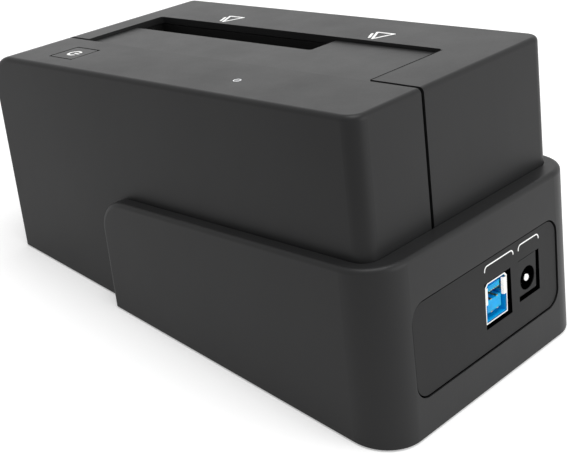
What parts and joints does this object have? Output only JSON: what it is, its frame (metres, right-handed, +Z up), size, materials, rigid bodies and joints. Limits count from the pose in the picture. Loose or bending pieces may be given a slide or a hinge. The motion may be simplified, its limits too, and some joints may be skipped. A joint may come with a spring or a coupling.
{
  "type": "hard drive docking station",
  "caption": "Leaning upright dock for a bare hard drive, with a sprung slot flap, a power button and rear USB and power sockets.",
  "frame": {"origin": "middle of the bounding box's underside, on the surface the rubber feet stand on", "axes": "+Z up, +X towards the end with the sockets, +Y towards the side away from the power button"},
  "size_m": [0.1514, 0.0828, 0.0777],
  "materials": {
    "casing": "satin moulded black plastic",
    "shoe": "satin moulded black plastic",
    "panel": "fine matte black plastic",
    "flap": "satin black plastic",
    "button": "satin black plastic with a white sign",
    "inner_plastic": "matte black plastic",
    "clear": "clear light pipe",
    "rubber": "matte black rubber",
    "steel": "zinc-plated steel",
    "plated": "bright nickel plate",
    "contact": "gold-plated contact",
    "blue_plastic": "blue connector insulator",
    "board": "green solder mask",
    "chip": "moulded chip",
    "can": "bare aluminium can"
  },
  "bodies": {
    "case": {"near_shell": "casing", "far_shell": "casing", "base_shoe": "shoe", "port_panel": "panel", "bottom_cover": "casing", "bay_frame": "inner_plastic", "light_pipe": "clear", "rubber_feet": "rubber", "hinge_rod": "steel", "flap_springs": "steel", "case_screws": "steel", "shoe_screws": "steel", "frame_screws": "steel", "small_board_screws": "steel", "sata_board_screws": "steel", "io_board_screws": "steel", "usb_shell": "plated", "usb_insulator": "blue_plastic", "usb_contacts": "contact", "jack_housing": "inner_plastic", "jack_centre_pin": "plated", "jack_contact": "plated", "sata_connector": "inner_plastic", "sata_contacts": "contact", "sata_board": "board", "io_board": "board", "button_board": "board", "light_board": "board", "bridge_chip": "chip", "flash_chip": "chip", "crystal": "can", "capacitors": "can", "inductor": "chip", "pin_headers": "inner_plastic", "link_socket": "inner_plastic", "link_pins": "inner_plastic", "switch_body": "chip", "activity_led": "clear"},
    "flap": {"slot_flap": "flap"},
    "button": {"power_button": "button", "switch_plunger": "inner_plastic"}
  },
  "joints": [
    {"name": "flap_hinge", "type": "hinge", "parent": "case", "child": "flap", "pos_m": [-0.00925, -0.0158, 0.06422], "axis": [-0.9893, 0, -0.146], "range_deg": [0, 90], "stiffness_Nm_per_rad": 0.004, "springref_deg": -28.65},
    {"name": "power_button_press", "type": "slide", "parent": "case", "child": "button", "axis": [0.146, 0, -0.9893], "range_m": [0, 0.0006], "stiffness_N_per_m": 1500, "springref_m": -0.0004}
  ]
}
